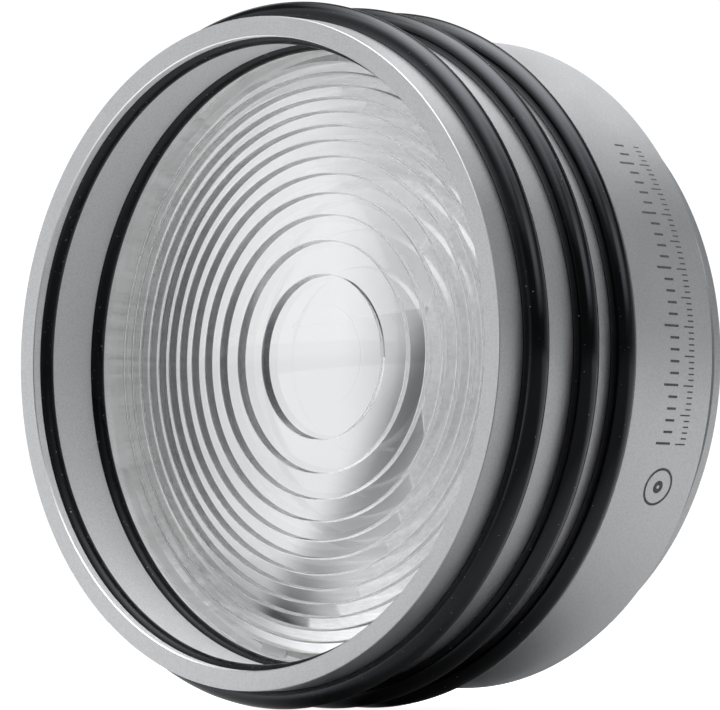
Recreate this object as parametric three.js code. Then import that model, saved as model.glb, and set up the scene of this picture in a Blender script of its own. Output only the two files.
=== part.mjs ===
// Fresnel lens barrel: a short silver tube that plugs onto the front of a studio light head.
// Millimetres, +Z up. The optical axis is Y: light leaves towards -Y, and the light head is at +Y.
// The origin is on the axis, in the plane of the rear shoulder that seats on the light head.
import * as THREE from 'three';

// Barrel
const BARREL_RADIUS = 50;
const BARREL_LENGTH = 47;
const FRONT_Y = -BARREL_LENGTH;
const BORE_RADIUS = 47;
const FRONT_OUTER_CHAMFER = 0.4;
const FRONT_INNER_CHAMFER = 0.25;
const REAR_CHAMFER = 0.4;

// Mounting sleeve: its rear end is the spigot that enters the light head
const SPIGOT_RADIUS = 46;
const SPIGOT_LENGTH = 7;
const SPIGOT_CHAMFER = 0.5;
const SLEEVE_BORE_RADIUS = 43.5;
const SLEEVE_FLANGE_RADIUS = 46.7;
const SLEEVE_FLANGE_THICKNESS = 1.5;
const DETENT_START = 3.5;
const DETENT_WIDTH = 1.8;
const DETENT_DEPTH = 0.5;

// Fresnel lens: every zone has the same drop, so the zone radii grow with the square root
const LENS_RADIUS = 46.6;
const LENS_DEPTH = 15.2;
const LENS_THICKNESS = 7.2;
const LENS_EDGE_CHAMFER = 0.5;
const ZONE_COUNT = 13;
const FIRST_ZONE_RADIUS = 12.3;
const ZONE_DROP = 1.5;
const RISER_DRAFT = 0.12;
const DOME_STEPS = 4;

// Gasket between the lens and the sleeve
const GASKET_THICKNESS = 1.0;
const GASKET_INNER_RADIUS = 44.2;
const GASKET_OUTER_RADIUS = 46.3;

// O-rings: section diameter, radius of the section's centre, depth behind the front face
const GUARD_SECTION = 4.0;
const GUARD_CENTRE_RADIUS = 50.75;
const GUARD_RINGS = {
  guard_ring_front: 6.8,
  guard_ring_middle: 17.6,
  guard_ring_rear: 25.8,
};
const INNER_SECTION = 2.8;
const INNER_CENTRE_RADIUS = 47.45;
const ACCESSORY_RING_DEPTH = 2.75;
const RETAINING_RING_DEPTH = 13.5;

// Clearance between pieces that touch on the real object
const GAP = 0.3;

// Facets
const TURNS = 48;
const GROOVE_STEPS = 4;
const SECTION_SIDES = 8;

const group = new THREE.Group();

function material(color, roughness, metalness) {
  return new THREE.MeshStandardMaterial({ color, roughness, metalness });
}

const anodised = () => material(0xb9bbbd, 0.42, 0.9);
const rubber = () => material(0x16171a, 0.6, 0.0);
const glass = () => material(0xe8f0f0, 0.05, 0.0);
const silicone = () => material(0xdedcd6, 0.6, 0.0);

function depthToY(depth) {
  return FRONT_Y + depth;
}

// A profile is a closed loop of [radius, y] points, turned about the Y axis.
function turned(name, profile, surface) {
  const points = profile.map(([radius, y]) => new THREE.Vector2(radius, y));
  const mesh = new THREE.Mesh(new THREE.LatheGeometry(points, TURNS), surface);
  mesh.name = name;
  group.add(mesh);
}

function closed(profile) {
  return [...profile, profile[0]];
}

// Points of a round groove cut into a cylindrical wall, listed from low y to high y.
// side is 1 where the ring lies outside the wall and -1 where the groove opens inwards.
function groove(y, centreRadius, section, wallRadius, side) {
  const radius = section / 2 + GAP;
  const offset = (centreRadius - wallRadius) * side;
  const half = Math.acos(offset / radius);
  const points = [];
  for (let i = 0; i <= GROOVE_STEPS; i += 1) {
    const angle = -half + (2 * half * i) / GROOVE_STEPS;
    points.push([
      centreRadius - side * radius * Math.cos(angle),
      y + radius * Math.sin(angle),
    ]);
  }
  return points;
}

function ringSection(y, centreRadius, section) {
  const points = [];
  for (let i = 0; i < SECTION_SIDES; i += 1) {
    const angle = (-2 * Math.PI * i) / SECTION_SIDES;
    points.push([
      centreRadius + (section / 2) * Math.cos(angle),
      y - (section / 2) * Math.sin(angle),
    ]);
  }
  return closed(points);
}

// Outside wall from front to rear, then the rear shoulder, then the bore back to the front.
function addBarrel() {
  const lensBackY = depthToY(LENS_DEPTH + LENS_THICKNESS);
  const stepY = lensBackY + GASKET_THICKNESS + SLEEVE_FLANGE_THICKNESS + 3 * GAP;
  const rearBore = SPIGOT_RADIUS + GAP;
  const outside = [
    [BARREL_RADIUS - FRONT_OUTER_CHAMFER, FRONT_Y],
    [BARREL_RADIUS, FRONT_Y + FRONT_OUTER_CHAMFER],
  ];
  for (const depth of Object.values(GUARD_RINGS)) {
    const y = depthToY(depth);
    outside.push(...groove(y, GUARD_CENTRE_RADIUS, GUARD_SECTION, BARREL_RADIUS, 1));
  }
  outside.push(
    [BARREL_RADIUS, -REAR_CHAMFER],
    [BARREL_RADIUS - REAR_CHAMFER, 0],
    [rearBore, 0],
    [rearBore, stepY],
    [BORE_RADIUS, stepY],
  );
  const inside = [];
  for (const depth of [RETAINING_RING_DEPTH, ACCESSORY_RING_DEPTH]) {
    const y = depthToY(depth);
    const cut = groove(y, INNER_CENTRE_RADIUS, INNER_SECTION, BORE_RADIUS, -1);
    inside.push(...cut.reverse());
  }
  inside.push(
    [BORE_RADIUS, FRONT_Y + FRONT_INNER_CHAMFER],
    [BORE_RADIUS + FRONT_INNER_CHAMFER, FRONT_Y],
  );
  turned('barrel', closed([...outside, ...inside]), anodised());
}

// The flange bears on the step inside the barrel, and the far end is the spigot.
function addMountSleeve() {
  const lensBackY = depthToY(LENS_DEPTH + LENS_THICKNESS);
  const frontY = lensBackY + GASKET_THICKNESS + 2 * GAP;
  const flangeBackY = frontY + SLEEVE_FLANGE_THICKNESS;
  const detentEnd = DETENT_START + DETENT_WIDTH;
  turned('mount_sleeve', closed([
    [SLEEVE_BORE_RADIUS, frontY],
    [SLEEVE_FLANGE_RADIUS, frontY],
    [SLEEVE_FLANGE_RADIUS, flangeBackY],
    [SPIGOT_RADIUS, flangeBackY],
    [SPIGOT_RADIUS, DETENT_START],
    [SPIGOT_RADIUS - DETENT_DEPTH, DETENT_START + DETENT_DEPTH],
    [SPIGOT_RADIUS - DETENT_DEPTH, detentEnd - DETENT_DEPTH],
    [SPIGOT_RADIUS, detentEnd],
    [SPIGOT_RADIUS, SPIGOT_LENGTH - SPIGOT_CHAMFER],
    [SPIGOT_RADIUS - SPIGOT_CHAMFER, SPIGOT_LENGTH],
    [SLEEVE_BORE_RADIUS, SPIGOT_LENGTH],
  ]), anodised());
}

function addGasket() {
  const y = depthToY(LENS_DEPTH + LENS_THICKNESS) + GAP;
  turned('lens_gasket', closed([
    [GASKET_INNER_RADIUS, y],
    [GASKET_OUTER_RADIUS, y],
    [GASKET_OUTER_RADIUS, y + GASKET_THICKNESS],
    [GASKET_INNER_RADIUS, y + GASKET_THICKNESS],
  ]), silicone());
}

// Stepped front face with the risers turned towards the axis, and a flat back.
function addLens() {
  const crestY = depthToY(LENS_DEPTH);
  const backY = crestY + LENS_THICKNESS;
  const profile = [];
  for (let i = 0; i <= DOME_STEPS; i += 1) {
    const t = i / DOME_STEPS;
    profile.push([FIRST_ZONE_RADIUS * t, crestY + ZONE_DROP * t * t]);
  }
  for (let zone = 1; zone < ZONE_COUNT; zone += 1) {
    const inner = FIRST_ZONE_RADIUS * Math.sqrt(zone);
    const outer = FIRST_ZONE_RADIUS * Math.sqrt(zone + 1);
    profile.push([inner + RISER_DRAFT, crestY]);
    profile.push([outer, crestY + ZONE_DROP]);
  }
  const lastRadius = FIRST_ZONE_RADIUS * Math.sqrt(ZONE_COUNT);
  profile.push(
    [lastRadius + RISER_DRAFT, crestY],
    [LENS_RADIUS - LENS_EDGE_CHAMFER, crestY],
    [LENS_RADIUS, crestY + LENS_EDGE_CHAMFER],
    [LENS_RADIUS, backY - LENS_EDGE_CHAMFER],
    [LENS_RADIUS - LENS_EDGE_CHAMFER, backY],
    [0, backY],
  );
  turned('fresnel_lens', profile, glass());
}

function addRing(name, depth, centreRadius, section) {
  turned(name, ringSection(depthToY(depth), centreRadius, section), rubber());
}

addBarrel();
addMountSleeve();
addGasket();
addLens();
addRing('lens_retaining_ring', RETAINING_RING_DEPTH, INNER_CENTRE_RADIUS, INNER_SECTION);
addRing('accessory_grip_ring', ACCESSORY_RING_DEPTH, INNER_CENTRE_RADIUS, INNER_SECTION);
for (const [name, depth] of Object.entries(GUARD_RINGS)) {
  addRing(name, depth, GUARD_CENTRE_RADIUS, GUARD_SECTION);
}

export default group;
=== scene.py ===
import math

import bmesh
import bpy
from mathutils import Matrix, Vector


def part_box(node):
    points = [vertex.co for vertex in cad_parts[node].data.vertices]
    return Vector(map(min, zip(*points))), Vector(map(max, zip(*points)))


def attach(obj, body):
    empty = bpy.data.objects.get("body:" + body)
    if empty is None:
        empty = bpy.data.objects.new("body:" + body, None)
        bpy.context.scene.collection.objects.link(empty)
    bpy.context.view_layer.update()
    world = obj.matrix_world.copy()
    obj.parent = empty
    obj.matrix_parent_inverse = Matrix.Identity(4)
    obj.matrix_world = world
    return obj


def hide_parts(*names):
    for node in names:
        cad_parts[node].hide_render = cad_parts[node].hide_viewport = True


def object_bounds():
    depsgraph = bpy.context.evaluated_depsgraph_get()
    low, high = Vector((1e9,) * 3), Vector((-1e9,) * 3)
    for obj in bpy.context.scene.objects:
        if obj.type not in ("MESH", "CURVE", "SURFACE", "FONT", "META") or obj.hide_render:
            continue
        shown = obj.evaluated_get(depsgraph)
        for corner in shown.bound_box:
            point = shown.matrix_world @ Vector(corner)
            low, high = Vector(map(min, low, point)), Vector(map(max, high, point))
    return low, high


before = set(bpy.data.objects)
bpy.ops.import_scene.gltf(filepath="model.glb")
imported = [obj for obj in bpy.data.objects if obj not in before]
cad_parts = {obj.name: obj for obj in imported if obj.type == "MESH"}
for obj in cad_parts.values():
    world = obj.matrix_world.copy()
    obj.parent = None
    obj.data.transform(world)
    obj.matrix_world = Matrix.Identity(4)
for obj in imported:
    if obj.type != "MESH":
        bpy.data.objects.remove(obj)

CAD_BOX = [list(corner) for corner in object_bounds()]
MM = 0.001

# ---------------------------------------------------------------- sizes, in metres
barrel_low, barrel_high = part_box("barrel")
sleeve_low, sleeve_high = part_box("mount_sleeve")
lens_low, lens_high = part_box("fresnel_lens")
gasket_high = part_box("lens_gasket")[1]

BARREL_RADIUS = barrel_high[2]
FRONT_Y = barrel_low[1]
SHOULDER_Y = barrel_high[1]
BORE_RADIUS = 47.0 * MM
OUTER_RIM_CHAMFER = 0.10 * MM
INNER_RIM_CHAMFER = 0.13 * MM
EDGE_CHAMFER = 0.12 * MM
SLEEVE_CLEARANCE = 0.05 * MM

SLEEVE_FRONT_Y = sleeve_low[1]
SPIGOT_END_Y = sleeve_high[1]
FLANGE_RADIUS = sleeve_high[2]
FLANGE_THICKNESS = 1.5 * MM
FLANGE_BACK_Y = SLEEVE_FRONT_Y + FLANGE_THICKNESS
SLEEVE_BORE_RADIUS = 43.5 * MM
SPIGOT_RADIUS = 46.0 * MM
SPIGOT_ROUND = 0.4 * MM
DETENT_START = 3.5 * MM
DETENT_END = 5.3 * MM
DETENT_DEPTH = 0.5 * MM

GASKET_OUTER_RADIUS = gasket_high[2]
GASKET_INNER_RADIUS = 44.2 * MM
GASKET_ROUND = 0.2 * MM
GASKET_GAP = 0.02 * MM

GUARD_RINGS = ("guard_ring_front", "guard_ring_middle", "guard_ring_rear")
GUARD_SECTION_RADIUS = 2.0 * MM
INNER_RINGS = ("lens_retaining_ring", "accessory_grip_ring")
INNER_SECTION_RADIUS = 1.4 * MM
GROOVE_CLEARANCE = 0.03 * MM
MOULDING_LINE_HEIGHT = 0.02 * MM

# Lens: every zone has the same drop, so the zone radii grow with the square root.
LENS_RADIUS = lens_high[2]
LENS_FRONT_Y = lens_low[1]
LENS_BACK_Y = lens_high[1]
LENS_BEVEL = 0.5 * MM
ZONE_COUNT = 13
FIRST_ZONE_RADIUS = 12.3 * MM
ZONE_DROP = 1.5 * MM
RISER_DRAFT = 0.12 * MM
RISER_FOOT = 0.001 * MM
CREST_ROUND = 0.10 * MM
CREST_SUPPORT = 0.02 * MM
TURNING_MARK_RADIUS = 7.9 * MM
TURNING_MARK_HALF_WIDTH = 0.10 * MM
TURNING_MARK_MARGIN = 0.15 * MM
TURNING_MARK_DEPTH = 0.012 * MM

PAD_INNER_RADIUS = 44.5 * MM
PAD_OUTER_RADIUS = 45.8 * MM
PAD_THICKNESS = 0.20 * MM
PAD_GAP = 0.02 * MM
PAD_STARTS_DEG = (78.5, -105.5)
PAD_SWEEP_DEG = 6.5

# Steps of round shapes
TURNS = 360
GROOVE_STEPS = 14
RING_SIDES = 48
SPIGOT_ROUND_STEPS = 5
GASKET_ROUND_STEPS = 4
CREST_STEPS = 5
DOME_STEPS = 20
FACET_STEPS = 6
PAD_STEPS = 8


# ---------------------------------------------------------------- mesh helpers
def arc(centre_radius, centre_y, radius, start, end, steps):
    """Points of an arc in the profile plane; angles in degrees from +radius towards +y."""
    points = []
    for i in range(steps + 1):
        angle = math.radians(start + (end - start) * i / steps)
        points.append((centre_radius + radius * math.cos(angle), centre_y + radius * math.sin(angle)))
    return points


def turned_vertex(bm, radius, y, angle):
    """A vertex at a radius and a y, turned about the Y axis by an angle from +X towards +Z."""
    return bm.verts.new((radius * math.cos(angle), y, radius * math.sin(angle)))


def add_object(name, bm, materials):
    """Put a finished bmesh into the scene as an object."""
    mesh = bpy.data.meshes.new(name)
    bm.to_mesh(mesh)
    bm.free()
    for material in materials:
        mesh.materials.append(material)
    added = bpy.data.objects.new(name, mesh)
    bpy.context.scene.collection.objects.link(added)
    return added


def lathe(name, runs, materials, sharp_deg=25.0):
    """Turn a profile about the Y axis: an open one if it starts on the axis, or else a closed loop.

    The profile is a list of runs. A run is a material number and its (radius, y) points, and the
    stretch from each point to the next has the material of the point's own run.
    """
    bm = bmesh.new()
    finishes = []
    loops = []
    for finish, points in runs:
        for radius, y in points:
            turns = TURNS if radius > 0.0 else 1
            loop = [turned_vertex(bm, radius, y, 2.0 * math.pi * i / TURNS) for i in range(turns)]
            loops.append(loop)
            finishes.append(finish)
    following = loops[1:] if len(loops[0]) == 1 else loops[1:] + loops[:1]
    for a, b, finish in zip(loops, following, finishes):
        for i in range(TURNS):
            j = (i + 1) % TURNS
            if len(a) == 1:
                corners = (a[0], b[j], b[i])
            elif len(b) == 1:
                corners = (a[i], a[j], b[0])
            else:
                corners = (a[i], a[j], b[j], b[i])
            face = bm.faces.new(corners)
            face.smooth = True
            face.material_index = finish
    bmesh.ops.recalc_face_normals(bm, faces=bm.faces)
    for edge in bm.edges:
        if len(edge.link_faces) == 2:
            edge.smooth = edge.calc_face_angle(0.0) < math.radians(sharp_deg)
    return add_object(name, bm, materials)


def skin(bm, loops, closed):
    """Quads between loops of vertices; the last one joins the first if closed, or else both are capped."""
    following = loops[1:] + loops[:1] if closed else loops[1:]
    for a, b in zip(loops, following):
        for i in range(len(a)):
            j = (i + 1) % len(a)
            bm.faces.new((a[i], a[j], b[j], b[i]))
    if not closed:
        bm.faces.new(loops[0])
        bm.faces.new(reversed(loops[-1]))


def bent_bar(bm, section, start_deg, sweep_deg, steps):
    """A closed bar that bends round the Y axis; its section is a loop of (radius, y) points."""
    loops = []
    for i in range(steps + 1):
        angle = math.radians(start_deg + sweep_deg * i / steps)
        loops.append([turned_vertex(bm, radius, y, angle) for radius, y in section])
    skin(bm, loops, closed=False)


# ---------------------------------------------------------------- node helpers
NOISE_LOW = 0.3     # nearly all of a noise lies between these two
NOISE_HIGH = 0.7
WHITE = (1.0, 1.0, 1.0, 1.0)


def new_material(name):
    material = bpy.data.materials.new(name)
    material.use_nodes = True
    tree = material.node_tree
    return material, tree, tree.nodes["Principled BSDF"]


def feed(tree, node, inputs):
    """Give a node's inputs, by name or number, plain values or the outputs of other nodes."""
    for key, value in inputs.items():
        if isinstance(value, bpy.types.NodeSocket):
            tree.links.new(value, node.inputs[key])
        else:
            node.inputs[key].default_value = value


def coordinates(tree):
    """The place on the piece, in metres."""
    return tree.nodes.new("ShaderNodeTexCoord").outputs["Object"]


def noise(tree, scale, detail=2.0, rough=0.5, place=None):
    """Noise with about `scale` features to a metre, or to one unit of another place."""
    node = tree.nodes.new("ShaderNodeTexNoise")
    vector = coordinates(tree) if place is None else place
    feed(tree, node, {"Vector": vector, "Scale": scale, "Detail": detail, "Roughness": rough})
    return node.outputs["Fac"]


def ramp(tree, source, first, last, low=NOISE_LOW, high=NOISE_HIGH):
    """One colour up to `low`, another from `high`, and a blend between them."""
    node = tree.nodes.new("ShaderNodeValToRGB")
    stops = ((low, first), (high, last))
    for element, (position, colour) in zip(node.color_ramp.elements, stops):
        element.position = position
        element.color = (*colour, 1.0)
    feed(tree, node, {"Fac": source})
    return node.outputs["Color"]


def map_range(tree, source, low, high, to_low=0.0, to_high=1.0, curve="LINEAR"):
    """One value up to `low`, another from `high`, and a blend between them."""
    node = tree.nodes.new("ShaderNodeMapRange")
    node.interpolation_type = curve
    feed(tree, node, {"Value": source, "From Min": low, "From Max": high,
                      "To Min": to_low, "To Max": to_high})
    return node.outputs["Result"]


def vary(tree, source, low, high):
    """Let a noise move a value between `low` and `high`."""
    return map_range(tree, source, NOISE_LOW, NOISE_HIGH, low, high)


def math_node(tree, operation, *values):
    node = tree.nodes.new("ShaderNodeMath")
    node.operation = operation
    feed(tree, node, dict(enumerate(values)))
    return node.outputs[0]


def chain(tree, operation, first, *rest):
    """Take any number of values together by ADD or MULTIPLY."""
    total = first
    for value in rest:
        total = math_node(tree, operation, total, value)
    return total


def mix_node(tree, data_type, factor, first, second):
    node = tree.nodes.new("ShaderNodeMix")
    node.data_type = data_type
    feed(tree, node, {"Factor": factor, "A": first, "B": second})
    return node.outputs["Result"]


def bump(tree, source, strength, distance):
    node = tree.nodes.new("ShaderNodeBump")
    feed(tree, node, {"Height": source, "Strength": strength, "Distance": distance})
    return node.outputs["Normal"]


def split_xyz(tree, vector):
    """The X, Y and Z outputs of a vector."""
    node = tree.nodes.new("ShaderNodeSeparateXYZ")
    feed(tree, node, {0: vector})
    return node.outputs


def join_xyz(tree, inputs):
    """A vector from some of X, Y and Z, with 0 for the rest."""
    node = tree.nodes.new("ShaderNodeCombineXYZ")
    feed(tree, node, inputs)
    return node.outputs["Vector"]


def length_of(tree, vector):
    node = tree.nodes.new("ShaderNodeVectorMath")
    node.operation = "LENGTH"
    feed(tree, node, {0: vector})
    return node.outputs["Value"]


def camera_rays(tree):
    """1 for what the camera sees directly, and 0 for reflections, refractions and light."""
    return tree.nodes.new("ShaderNodeLightPath").outputs["Is Camera Ray"]


# ---------------------------------------------------------------- materials
ALUMINIUM_BLUE = 0.010
GLASS_IOR = 1.5
RISER_SHADE_FROM = 42.0 * MM     # the painted shade of the lens's steps starts inside this radius
RISER_SHADE_FULL = 35.0 * MM     # and is full inside this one


def grey(value, blue=0.0):
    """A grey that is cooler by some blue and a smaller share of green."""
    return (value, value + 0.3 * blue, value + blue)


def anodised_material(name, tone, roughness, grain, metallic=1.0):
    """Bead-blasted, clear anodised aluminium: satin grey with soft clouds and a fine even grain."""
    material, tree, shader = new_material(name)
    cloud = noise(tree, 60.0, 3.0)
    blast = noise(tree, 3600.0, 2.0, 0.6)
    shade = ramp(tree, cloud, grey(tone * 0.965, ALUMINIUM_BLUE), grey(tone * 1.02, ALUMINIUM_BLUE))
    speck = ramp(tree, blast, grey(tone * 0.84, ALUMINIUM_BLUE), grey(tone * 1.07, ALUMINIUM_BLUE),
                 low=0.36, high=0.60)
    feed(tree, shader, {
        "Metallic": metallic,
        "Base Color": mix_node(tree, "RGBA", 0.55, shade, speck),
        "Roughness": vary(tree, cloud, roughness - 0.03, roughness + 0.03),
        "Normal": bump(tree, blast, grain, 0.04 * MM),
    })
    return material


def machined_material(name, tone, roughness):
    """Bright cut edge: finer and smoother than the blasted walls."""
    material, tree, shader = new_material(name)
    fine = noise(tree, 900.0)
    feed(tree, shader, {
        "Metallic": 1.0,
        "Base Color": ramp(tree, fine, grey(tone * 0.95), grey(tone)),
        "Roughness": vary(tree, fine, roughness - 0.03, roughness + 0.04),
    })
    return material


def rubber_material(name, tone, roughness, gloss, dust):
    """Black moulded rubber with a faint skin texture and small specks of dust."""
    material, tree, shader = new_material(name)
    cloud = noise(tree, 140.0, 3.0)
    skin_texture = noise(tree, 2600.0, 3.0)
    specks = noise(tree, 2600.0, 1.0)
    dusty = map_range(tree, specks, 0.775 - dust, 0.82 - dust)
    clean_colour = ramp(tree, cloud, grey(tone * 0.8), grey(tone * 1.25, 0.001))
    dust_colour = (*grey(0.22), 1.0)
    feed(tree, shader, {
        "Base Color": mix_node(tree, "RGBA", dusty, clean_colour, dust_colour),
        "Roughness": vary(tree, cloud, roughness - 0.06, roughness + 0.06),
        "Specular IOR Level": gloss,
        "Specular Tint": (0.90, 0.93, 1.0, 1.0),
        "Normal": bump(tree, skin_texture, 0.15, 0.04 * MM),
    })
    return material


def glass_material(name, low_roughness, high_roughness):
    """Pressed glass: clear, with faint flow waves and an uneven polish."""
    material, tree, shader = new_material(name)
    fine = noise(tree, 700.0)
    waves = noise(tree, 45.0)
    feed(tree, shader, {
        "Base Color": (0.985, 0.993, 0.99, 1.0),
        "Transmission Weight": 1.0,
        "IOR": GLASS_IOR,
        "Roughness": map_range(tree, fine, 0.40, 0.75, low_roughness, high_roughness),
        "Normal": bump(tree, waves, 0.05, 0.3 * MM),
    })
    return material


def riser_shaded_glass_material(name):
    """Steep steps of the lens: painted shade in the glass's colour, darkest on the -X side, and clear in
    the outer zones.
    """
    material, tree, shader = new_material(name)
    place = split_xyz(tree, coordinates(tree))
    radius = length_of(tree, join_xyz(tree, {"X": place["X"], "Z": place["Z"]}))
    outward = map_range(tree, radius, RISER_SHADE_FULL, RISER_SHADE_FROM)
    sideways = math_node(tree, "DIVIDE", place["X"], radius)
    away_from_shaded_side = map_range(tree, sideways, -0.92, -0.25, 0.0, 0.8)
    clear = math_node(tree, "MAXIMUM", outward, away_from_shaded_side)
    feed(tree, shader, {
        # The dark base colour is painted shade, standing in for the dark the steps reflect; it is
        # strongest on the -X side.
        "Base Color": ramp(tree, clear, grey(0.14, 0.02), grey(0.85), low=0.0, high=1.0),
        "Transmission Weight": 1.0,
        "IOR": GLASS_IOR,
        "Roughness": 0.06,
    })
    return material


def glowing_ground_glass_material(name):
    """Ground rim of the lens: matt white with fine streaks along the axis, and a faint painted glow that
    stands in for the light the rim gathers.
    """
    material, tree, shader = new_material(name)
    place = split_xyz(tree, coordinates(tree))
    turn = math_node(tree, "ARCTAN2", place["X"], place["Z"])
    round_rim = math_node(tree, "MULTIPLY", turn, 60.0)
    along_axis = math_node(tree, "MULTIPLY", place["Y"], 80.0)
    streak = noise(tree, 1.0, 3.0, place=join_xyz(tree, {"X": round_rim, "Y": along_axis}))
    feed(tree, shader, {
        "Base Color": ramp(tree, streak, grey(0.90), grey(0.99)),
        "Roughness": 0.6,
        # Painted glow: the rim is no lamp, and this emission stands in for light reaching it through the
        # glass.
        "Emission Color": WHITE,
        "Emission Strength": vary(tree, streak, 0.10, 0.20),
        "Normal": bump(tree, streak, 0.2, 0.1 * MM),
    })
    return material


def silicone_material(name):
    """Milky white silicone with a little light scattered under its skin."""
    material, tree, shader = new_material(name)
    cloud = noise(tree, 300.0)
    feed(tree, shader, {
        "Base Color": ramp(tree, cloud, (0.66, 0.66, 0.64), (0.76, 0.76, 0.74)),
        "Roughness": 0.55,
        "Subsurface Weight": 0.2,
        "Subsurface Scale": 2.0 * MM,
        "Normal": bump(tree, noise(tree, 1800.0), 0.2, 0.05 * MM),
    })
    return material


def ink_material(name):
    """Dark fill in the engraved index marks."""
    material, tree, shader = new_material(name)
    worn = noise(tree, 2400.0)
    feed(tree, shader, {
        "Base Color": ramp(tree, worn, grey(0.06), grey(0.14), high=0.8),
        "Roughness": 0.6,
        "Metallic": 0.3,
    })
    return material


anodised = anodised_material("anodised_blasted", tone=0.585, roughness=0.46, grain=0.35)
# The barrel's bore and the sleeve's bore are lighter, less metallic copies of the same anodised finish;
# their extra lightness is painted light inside the tubes.
bore_metal_painted_light = anodised_material("anodised_bore_painted_light", tone=0.96, roughness=0.50, grain=0.2, metallic=0.35)
sleeve_bore_painted_light = anodised_material("anodised_sleeve_bore_painted_light", tone=0.93, roughness=0.34, grain=0.2,
                                      metallic=0.45)
edge_metal = machined_material("machined_edge", tone=0.80, roughness=0.34)
rubber = rubber_material("guard_rubber", tone=0.0018, roughness=0.16, gloss=0.5, dust=0.015)
inner_rubber = rubber_material("grip_rubber", tone=0.0025, roughness=0.32, gloss=0.25, dust=0.045)
glass = glass_material("lens_glass", low_roughness=0.008, high_roughness=0.035)
frosted_glass = glass_material("lens_pad_glass", low_roughness=0.30, high_roughness=0.45)
riser_painted_shade_glass = riser_shaded_glass_material("lens_riser_painted_shade")
ground_glass_painted_glow = glowing_ground_glass_material("ground_rim_painted_glow")
spigot_metal = anodised_material("anodised_spigot", tone=0.50, roughness=0.46, grain=0.35)
silicone = silicone_material("gasket_silicone")
ink = ink_material("engraving_fill")


# ---------------------------------------------------------------- pieces
def finish_piece(piece, slot, *nodes):
    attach(piece, "root")
    if nodes:
        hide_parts(*nodes)


def ring_centre(node, section_radius):
    """Radius and y of the middle of a rubber ring's section."""
    low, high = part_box(node)
    return high[2] - section_radius, 0.5 * (low[1] + high[1])


def groove(node, section_radius, wall_radius, side):
    """Round groove round a rubber ring.

    side is 1 in the outside wall, where the points run to the rear, and -1 in the bore, where
    they run to the front.
    """
    centre_radius, y = ring_centre(node, section_radius)
    radius = section_radius + GROOVE_CLEARANCE
    half = math.degrees(math.acos(side * (centre_radius - wall_radius) / radius))
    middle = 180.0 if side == 1 else 0.0
    return arc(centre_radius, y, radius, middle + half, middle - half, GROOVE_STEPS)


def make_barrel():
    """Tube with three round outside grooves and two inside ones, open at both ends."""
    wall, edge, bore = 0, 1, 2
    clear_radius = SPIGOT_RADIUS + SLEEVE_CLEARANCE
    step_y = FLANGE_BACK_Y + SLEEVE_CLEARANCE
    runs = [(wall, [
        (BARREL_RADIUS - OUTER_RIM_CHAMFER, FRONT_Y),
        (BARREL_RADIUS, FRONT_Y + OUTER_RIM_CHAMFER),
    ])]
    for node in GUARD_RINGS:
        runs.append((wall, groove(node, GUARD_SECTION_RADIUS, BARREL_RADIUS, 1)))
    runs.append((edge, [(BARREL_RADIUS, SHOULDER_Y - EDGE_CHAMFER)]))
    runs.append((wall, [(BARREL_RADIUS - EDGE_CHAMFER, SHOULDER_Y)]))
    runs.append((bore, [(clear_radius, SHOULDER_Y), (clear_radius, step_y), (BORE_RADIUS, step_y)]))
    for node in INNER_RINGS:
        runs.append((bore, groove(node, INNER_SECTION_RADIUS, BORE_RADIUS, -1)))
    runs.append((edge, [(BORE_RADIUS, FRONT_Y + INNER_RIM_CHAMFER)]))
    runs.append((wall, [(BORE_RADIUS + INNER_RIM_CHAMFER, FRONT_Y)]))
    piece = lathe("barrel_shell", runs, [anodised, edge_metal, bore_metal_painted_light])
    finish_piece(piece, "anodised_shell", "barrel")


def make_sleeve():
    """Tube with a flange behind the lens and a grooved spigot behind the barrel."""
    outside, inside = 0, 1
    round_radius = SPIGOT_RADIUS - SPIGOT_ROUND
    round_y = SPIGOT_END_Y - SPIGOT_ROUND
    runs = [
        (inside, [(SLEEVE_BORE_RADIUS, SLEEVE_FRONT_Y)]),
        (outside, [
            (FLANGE_RADIUS, SLEEVE_FRONT_Y),
            (FLANGE_RADIUS, FLANGE_BACK_Y),
            (SPIGOT_RADIUS, FLANGE_BACK_Y),
            (SPIGOT_RADIUS, DETENT_START),
            (SPIGOT_RADIUS - DETENT_DEPTH, DETENT_START + DETENT_DEPTH),
            (SPIGOT_RADIUS - DETENT_DEPTH, DETENT_END - DETENT_DEPTH),
            (SPIGOT_RADIUS, DETENT_END),
        ]),
        (outside, arc(round_radius, round_y, SPIGOT_ROUND, 0.0, 90.0, SPIGOT_ROUND_STEPS)),
        (inside, [
            (SLEEVE_BORE_RADIUS + EDGE_CHAMFER, SPIGOT_END_Y),
            (SLEEVE_BORE_RADIUS, SPIGOT_END_Y - EDGE_CHAMFER),
        ]),
    ]
    piece = lathe("sleeve_tube", runs, [spigot_metal, sleeve_bore_painted_light])
    finish_piece(piece, "anodised_sleeve", "mount_sleeve")


def make_gasket():
    """Flat ring with round edges, which fills the space between the lens and the sleeve."""
    inner = GASKET_INNER_RADIUS + GASKET_ROUND
    outer = GASKET_OUTER_RADIUS - GASKET_ROUND
    front_y = LENS_BACK_Y + GASKET_GAP + GASKET_ROUND
    back_y = SLEEVE_FRONT_Y - GASKET_GAP - GASKET_ROUND
    profile = []
    for radius, y, start in ((inner, front_y, 180.0), (outer, front_y, 270.0),
                             (outer, back_y, 0.0), (inner, back_y, 90.0)):
        profile += arc(radius, y, GASKET_ROUND, start, start + 90.0, GASKET_ROUND_STEPS)
    piece = lathe("gasket_ring", [(0, profile)], [silicone])
    finish_piece(piece, "gasket_silicone", "lens_gasket")


def facet_point(radius, inner_radius):
    """Point of a zone that starts at inner_radius; it falls back with the square of the radius."""
    y = LENS_FRONT_Y + ZONE_DROP * (radius ** 2 - inner_radius ** 2) / FIRST_ZONE_RADIUS ** 2
    return radius, y


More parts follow.
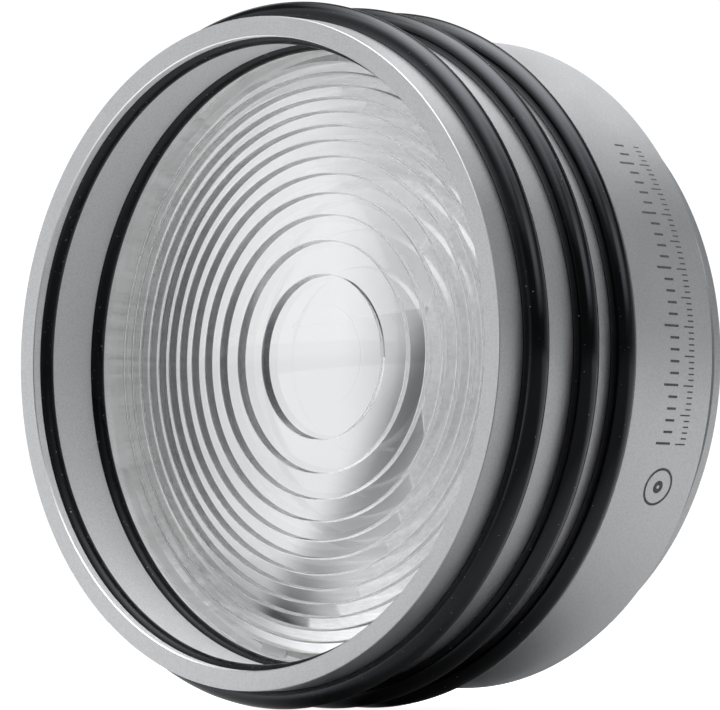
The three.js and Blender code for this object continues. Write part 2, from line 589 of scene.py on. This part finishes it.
def dome_points():
    """The central zone, with one fine turning mark cut into it."""
    points = [facet_point(FIRST_ZONE_RADIUS * i / DOME_STEPS, 0.0) for i in range(DOME_STEPS + 1)]
    margin = TURNING_MARK_HALF_WIDTH + TURNING_MARK_MARGIN
    for offset in (-margin, -TURNING_MARK_HALF_WIDTH, TURNING_MARK_HALF_WIDTH, margin):
        points.append(facet_point(TURNING_MARK_RADIUS + offset, 0.0))
    radius, y = facet_point(TURNING_MARK_RADIUS, 0.0)
    points.append((radius, y + TURNING_MARK_DEPTH))
    return sorted(points)


def make_lens():
    """Stepped front with rounded crests, plain back and ground rim."""
    facet, rim, riser = 0, 1, 2
    crest_y = LENS_FRONT_Y + CREST_ROUND
    rim_radius = LENS_RADIUS - LENS_BEVEL
    runs = [(facet, dome_points())]
    for zone in range(1, ZONE_COUNT + 1):
        inner = FIRST_ZONE_RADIUS * math.sqrt(zone)
        crest = inner + RISER_DRAFT
        round_end = crest + CREST_ROUND
        start = round_end + CREST_SUPPORT
        runs.append((riser, [(inner + RISER_FOOT, LENS_FRONT_Y + ZONE_DROP - CREST_SUPPORT)]))
        runs.append((facet, [(crest, crest_y + CREST_SUPPORT)]))
        runs.append((facet, arc(round_end, crest_y, CREST_ROUND, 180.0, 270.0, CREST_STEPS)))
        if zone == ZONE_COUNT:
            runs.append((facet, [(start, LENS_FRONT_Y)]))
            continue
        width = FIRST_ZONE_RADIUS * math.sqrt(zone + 1) - start
        runs.append((facet, [facet_point(start + width * i / FACET_STEPS, inner)
                             for i in range(FACET_STEPS + 1)]))
    runs.append((rim, [
        (rim_radius, LENS_FRONT_Y),
        (LENS_RADIUS, LENS_FRONT_Y + LENS_BEVEL),
        (LENS_RADIUS, LENS_BACK_Y - LENS_BEVEL),
    ]))
    runs.append((facet, [(rim_radius, LENS_BACK_Y), (0.0, LENS_BACK_Y)]))
    piece = lathe("lens_glass_disc", runs, [glass, ground_glass_painted_glow, riser_painted_shade_glass], sharp_deg=35.0)
    finish_piece(piece, "lens_glass", "fresnel_lens")


def make_lens_pads():
    """Two small pads moulded on the lens's flange, one near the top and one near the bottom."""
    bm = bmesh.new()
    back_y = LENS_FRONT_Y - PAD_GAP
    front_y = back_y - PAD_THICKNESS
    section = [
        (PAD_INNER_RADIUS, back_y),
        (PAD_OUTER_RADIUS, back_y),
        (PAD_OUTER_RADIUS, front_y),
        (PAD_INNER_RADIUS, front_y),
    ]
    for start_deg in PAD_STARTS_DEG:
        bent_bar(bm, section, start_deg, PAD_SWEEP_DEG, PAD_STEPS)
    bmesh.ops.recalc_face_normals(bm, faces=bm.faces)
    piece = add_object("lens_moulding_pads", bm, [frosted_glass])
    finish_piece(piece, "lens_glass")


def make_ring(node, name, section_radius, material):
    """Rubber ring with a faint moulding line round its widest and narrowest circles."""
    centre_radius, y = ring_centre(node, section_radius)
    profile = []
    for i in range(RING_SIDES):
        angle = 2.0 * math.pi * i / RING_SIDES
        on_line = i in (0, RING_SIDES // 2)
        reach = section_radius if on_line else section_radius - MOULDING_LINE_HEIGHT
        profile.append((centre_radius + reach * math.cos(angle), y + reach * math.sin(angle)))
    piece = lathe(name, [(0, profile)], [material], sharp_deg=40.0)
    finish_piece(piece, "ring_rubber", node)


# ---------------------------------------------------------------- index marks on the barrel
MARK_OUTER_RADIUS = BARREL_RADIUS + 0.012 * MM
MARK_INNER_RADIUS = BARREL_RADIUS - 0.06 * MM
TICKS_START_DEG = -16.0
TICKS_TO_A_LONG_ONE = 5
TICK_STEPS = 2
ROUND_MARK_DEG = -23.5
ROUND_MARK_Y = FRONT_Y + 39.3 * MM
ROUND_MARK_STEPS = 40

# Each row: number of ticks, degrees from tick to tick, degrees across a tick, y of the rear end,
# length of the long ticks, length of the others
TICK_ROWS = [
    (28, 2.0, 0.42, FRONT_Y + 39.4 * MM, 3.2 * MM, 2.0 * MM),
    (55, 1.0, 0.252, FRONT_Y + 42.8 * MM, 2.2 * MM, 1.2 * MM),
]
# Each outline of the round mark: outer and inner radius
ROUND_MARK_OUTLINES = [(3.0 * MM, 2.6 * MM), (1.0 * MM, 0.3 * MM)]


def add_tick(bm, start_deg, width_deg, front_y, rear_y):
    section = [
        (MARK_OUTER_RADIUS, front_y),
        (MARK_OUTER_RADIUS, rear_y),
        (MARK_INNER_RADIUS, rear_y),
        (MARK_INNER_RADIUS, front_y),
    ]
    bent_bar(bm, section, start_deg, width_deg, TICK_STEPS)


def add_outline(bm, outer, inner):
    """A small round outline bent round the barrel."""
    corners = (
        (outer, MARK_OUTER_RADIUS),
        (inner, MARK_OUTER_RADIUS),
        (inner, MARK_INNER_RADIUS),
        (outer, MARK_INNER_RADIUS),
    )
    loops = []
    for i in range(ROUND_MARK_STEPS):
        t = 2.0 * math.pi * i / ROUND_MARK_STEPS
        loop = []
        for reach, radius in corners:
            angle = math.radians(ROUND_MARK_DEG) + reach * math.sin(t) / BARREL_RADIUS
            loop.append(turned_vertex(bm, radius, ROUND_MARK_Y + reach * math.cos(t), angle))
        loops.append(loop)
    skin(bm, loops, closed=True)


def make_index_marks():
    """Two rows of plain graduation ticks and a round index mark, engraved and filled dark."""
    bm = bmesh.new()
    for count, pitch_deg, width_deg, rear_y, long_tick, short_tick in TICK_ROWS:
        for i in range(count):
            length = short_tick if i % TICKS_TO_A_LONG_ONE else long_tick
            add_tick(bm, TICKS_START_DEG + pitch_deg * i, width_deg, rear_y - length, rear_y)
    for outer, inner in ROUND_MARK_OUTLINES:
        add_outline(bm, outer, inner)
    bmesh.ops.recalc_face_normals(bm, faces=bm.faces)
    piece = add_object("index_marks", bm, [ink])
    finish_piece(piece, "anodised_shell")


# ---------------------------------------------------------------- camera
VIEW_AZIMUTH = math.radians(43.64)
VIEW_ELEVATION = math.radians(-3.04)
CAMERA_DISTANCE = 14.871    # this and the two aims are in barrel radii
AIM_RIGHT = 0.329
AIM_DOWN = 0.006
FOCAL_LENGTH = 251.05       # this and the sensor are in millimetres
SENSOR_WIDTH = 36.0
CLIP_END = 100.0


def make_camera():
    """Camera a little below the axis; the front rim's centre lies left of the picture's centre."""
    sin_a, cos_a = math.sin(VIEW_AZIMUTH), math.cos(VIEW_AZIMUTH)
    sin_e, cos_e = math.sin(VIEW_ELEVATION), math.cos(VIEW_ELEVATION)
    back = Vector((sin_a * cos_e, -cos_a * cos_e, sin_e))
    right = Vector((cos_a, sin_a, 0.0))
    up = back.cross(right)
    centre = Vector((0.0, FRONT_Y, 0.0))
    place = centre + BARREL_RADIUS * (AIM_RIGHT * right - AIM_DOWN * up + CAMERA_DISTANCE * back)
    data = bpy.data.cameras.new("camera")
    data.sensor_width = SENSOR_WIDTH
    data.sensor_fit = "HORIZONTAL"
    data.lens = FOCAL_LENGTH
    data.clip_end = CLIP_END
    camera = bpy.data.objects.new("camera", data)
    turn = Matrix((right, up, back)).transposed()
    camera.matrix_world = Matrix.Translation(place) @ turn.to_4x4()
    bpy.context.scene.collection.objects.link(camera)
    bpy.context.scene.camera = camera


# ---------------------------------------------------------------- floor and light
# Azimuth is counted from +Y towards -X and elevation from the horizon, both in degrees. An edge is
# (degrees, softness), and OPEN_LOW and OPEN_HIGH stand where an area has no edge. An area that
# reaches azimuth 180 goes on from -180 at the same strength, so no seam shows there.
OPEN_LOW = (-400.0, 1.0)
OPEN_HIGH = (400.0, 1.0)

FLOOR_DROP = 0.2 * MM
FLOOR_HALF_SIZE = 40.0
FLOOR_TONE = 0.50
DARK_FLOOR_TONE = 0.12
DARK_FLOOR_FROM = 60.0 * MM
DARK_FLOOR_FULL = 140.0 * MM
FLOOR_GLOW = 0.58
FLOOR_GLOW_FROM = 45.0 * MM
FLOOR_GLOW_FULL = 70.0 * MM
SEEN_FLOOR_GLOW = 0.92      # the camera sees a paler floor than the object reflects
SEEN_SKY_LEVEL = 1.1        # and an even white studio
SKY_COLOUR = (0.975, 0.985, 1.0, 1.0)
DIM_LEVEL = 0.06

# Areas of the floor: share, azimuth from, azimuth to
DARK_FLOOR = [
    (0.40, (54.0, 7.0), (68.0, 7.0)),
    (1.0, (-180.0, 14.0), (-80.0, 12.0)),
    (1.0, (180.0, 14.0), OPEN_HIGH),
]
GLOWING_FLOOR = [
    (1.0, (88.0, 14.0), (180.0, 14.0)),
    (1.0, OPEN_LOW, (-180.0, 14.0)),
]

# Panels and flags of the studio: level, azimuth from, azimuth to, elevation from, elevation to.
# A panel gives light, and a flag, whose level is below 0, takes it away again.
PANELS = [
    (5.20, OPEN_LOW, OPEN_HIGH, (53.5, 32.0), OPEN_HIGH),               # softbox overhead
    (-1.40, (-40.0, 12.0), (56.0, 4.0), (28.0, 10.0), (58.0, 10.0)),    # flag at +Y
    (-1.30, (-125.0, 12.0), (-58.0, 12.0), (38.0, 10.0), (68.0, 10.0)),  # flag at +X
    (-2.00, (58.0, 12.0), (125.0, 12.0), (38.0, 10.0), (70.0, 10.0)),   # flag at -X
    (0.74, (-8.0, 12.0), (54.0, 7.0), OPEN_LOW, (25.0, 15.0)),          # backdrop at +Y
    (0.05, (-5.0, 12.0), (54.0, 7.0), OPEN_LOW, (3.0, 0.7)),            # its foot
    (0.62, (12.0, 10.0), (64.0, 8.0), (22.0, 9.0), (44.0, 9.0)),        # its top
    (0.42, (54.0, 7.0), (66.0, 7.0), OPEN_LOW, (25.0, 15.0)),           # its dim end towards -X
    (0.26, (-60.0, 12.0), (-8.0, 12.0), OPEN_LOW, (25.0, 15.0)),        # its dim end towards +X
    (0.50, (66.0, 7.0), (90.0, 6.0), OPEN_LOW, (30.0, 10.0)),           # wall at -X, rear half
    (0.60, (92.0, 6.0), (152.0, 10.0), OPEN_LOW, (35.0, 15.0)),         # wall at -X, front half
    (1.50, (-105.0, 10.0), (-66.0, 8.0), (16.0, 8.0), (42.0, 14.0)),    # panel at +X
    (0.22, (158.0, 20.0), OPEN_HIGH, OPEN_LOW, (30.0, 15.0)),           # dim fill at the front,
    (0.22, OPEN_LOW, (-172.0, 8.0), OPEN_LOW, (30.0, 15.0)),            # on both sides of 180
]

# A flag that leans: along its long edges, these parts of azimuth and elevation add up to the same.
LEANING_FLAG_LEVEL = -0.36
LEAN_AZIMUTH = 0.75
LEAN_ELEVATION = 0.66
LEANING_FLAG_EDGES = ((46.5, 2.5), (52.5, 3.0))
LEANING_FLAG_ENDS = ((0.0, 1.0), (33.0, 6.0))


def azimuth_of(tree, vector):
    """Angle round Z of a vector, counted from +Y towards -X, in radians."""
    parts = split_xyz(tree, vector)
    west = math_node(tree, "MULTIPLY", parts["X"], -1.0)
    return math_node(tree, "ARCTAN2", west, parts["Y"])


def soft_step(tree, angle, edge, softness):
    """0 below the edge and 1 above it; the edge is in degrees and the angle in radians."""
    low, high = math.radians(edge - softness), math.radians(edge + softness)
    return map_range(tree, angle, low, high, curve="SMOOTHSTEP")


def sector(tree, angle, low, high):
    """1 between two edges and 0 outside them."""
    return math_node(tree, "SUBTRACT", soft_step(tree, angle, *low), soft_step(tree, angle, *high))


def sectors(tree, azimuth, areas):
    """Sum of the shares of some areas of the floor, which don't overlap."""
    shares = []
    for share, low, high in areas:
        shares.append(math_node(tree, "MULTIPLY", sector(tree, azimuth, low, high), share))
    return chain(tree, "ADD", *shares)


def floor_material():
    """Matt pale floor, darker in some directions and glowing in others."""
    material, tree, shader = new_material("pale_floor")
    place = coordinates(tree)
    reach = length_of(tree, place)
    azimuth = azimuth_of(tree, place)
    far = map_range(tree, reach, DARK_FLOOR_FROM, DARK_FLOOR_FULL)
    dark = math_node(tree, "MULTIPLY", far, sectors(tree, azimuth, DARK_FLOOR))
    near = map_range(tree, reach, FLOOR_GLOW_FROM, FLOOR_GLOW_FULL)
    glow = chain(tree, "MULTIPLY", near, sectors(tree, azimuth, GLOWING_FLOOR), FLOOR_GLOW)
    seen_glow = math_node(tree, "MULTIPLY", camera_rays(tree), SEEN_FLOOR_GLOW)
    feed(tree, shader, {
        "Base Color": ramp(tree, dark, grey(FLOOR_TONE), grey(DARK_FLOOR_TONE), low=0.0, high=1.0),
        "Roughness": 0.9,
        "Specular IOR Level": 0.0,
        "Emission Color": WHITE,
        "Emission Strength": math_node(tree, "MAXIMUM", glow, seen_glow),
    })
    return material


def make_floor(height):
    bm = bmesh.new()
    for x, y in ((-1.0, -1.0), (1.0, -1.0), (1.0, 1.0), (-1.0, 1.0)):
        bm.verts.new((x * FLOOR_HALF_SIZE, y * FLOOR_HALF_SIZE, height))
    bm.faces.new(bm.verts)
    floor = add_object("floor", bm, [floor_material()])


def make_world():
    """Soft panels and flags in a dim studio, and an even white that only the camera sees."""
    world = bpy.data.worlds.new("studio")
    bpy.context.scene.world = world
    world.use_nodes = True
    tree = world.node_tree
    direction = tree.nodes.new("ShaderNodeTexCoord").outputs["Generated"]
    azimuth = azimuth_of(tree, direction)
    elevation = math_node(tree, "ARCSINE", split_xyz(tree, direction)["Z"])
    panels = []
    for level, az_low, az_high, el_low, el_high in PANELS:
        across = sector(tree, azimuth, az_low, az_high)
        upward = sector(tree, elevation, el_low, el_high)
        panels.append(chain(tree, "MULTIPLY", across, upward, level))
    lean = math_node(tree, "ADD", math_node(tree, "MULTIPLY", azimuth, LEAN_AZIMUTH),
                     math_node(tree, "MULTIPLY", elevation, LEAN_ELEVATION))
    across = sector(tree, lean, *LEANING_FLAG_EDGES)
    upward = sector(tree, elevation, *LEANING_FLAG_ENDS)
    panels.append(chain(tree, "MULTIPLY", across, upward, LEANING_FLAG_LEVEL))
    light = math_node(tree, "MAXIMUM", chain(tree, "ADD", *panels), 0.0)
    studio = math_node(tree, "ADD", light, DIM_LEVEL)
    feed(tree, tree.nodes["Background"], {
        "Color": SKY_COLOUR,
        "Strength": mix_node(tree, "FLOAT", camera_rays(tree), studio, SEEN_SKY_LEVEL),
    })


make_camera()
make_barrel()
make_sleeve()
make_gasket()
make_lens()
make_lens_pads()
for node in GUARD_RINGS:
    make_ring(node, node + "_rubber", GUARD_SECTION_RADIUS, rubber)
for node in INNER_RINGS:
    make_ring(node, node + "_rubber", INNER_SECTION_RADIUS, inner_rubber)
make_index_marks()
make_floor(CAD_BOX[0][2] - FLOOR_DROP)
make_world()
bpy.context.scene.view_settings.view_transform = "Standard"
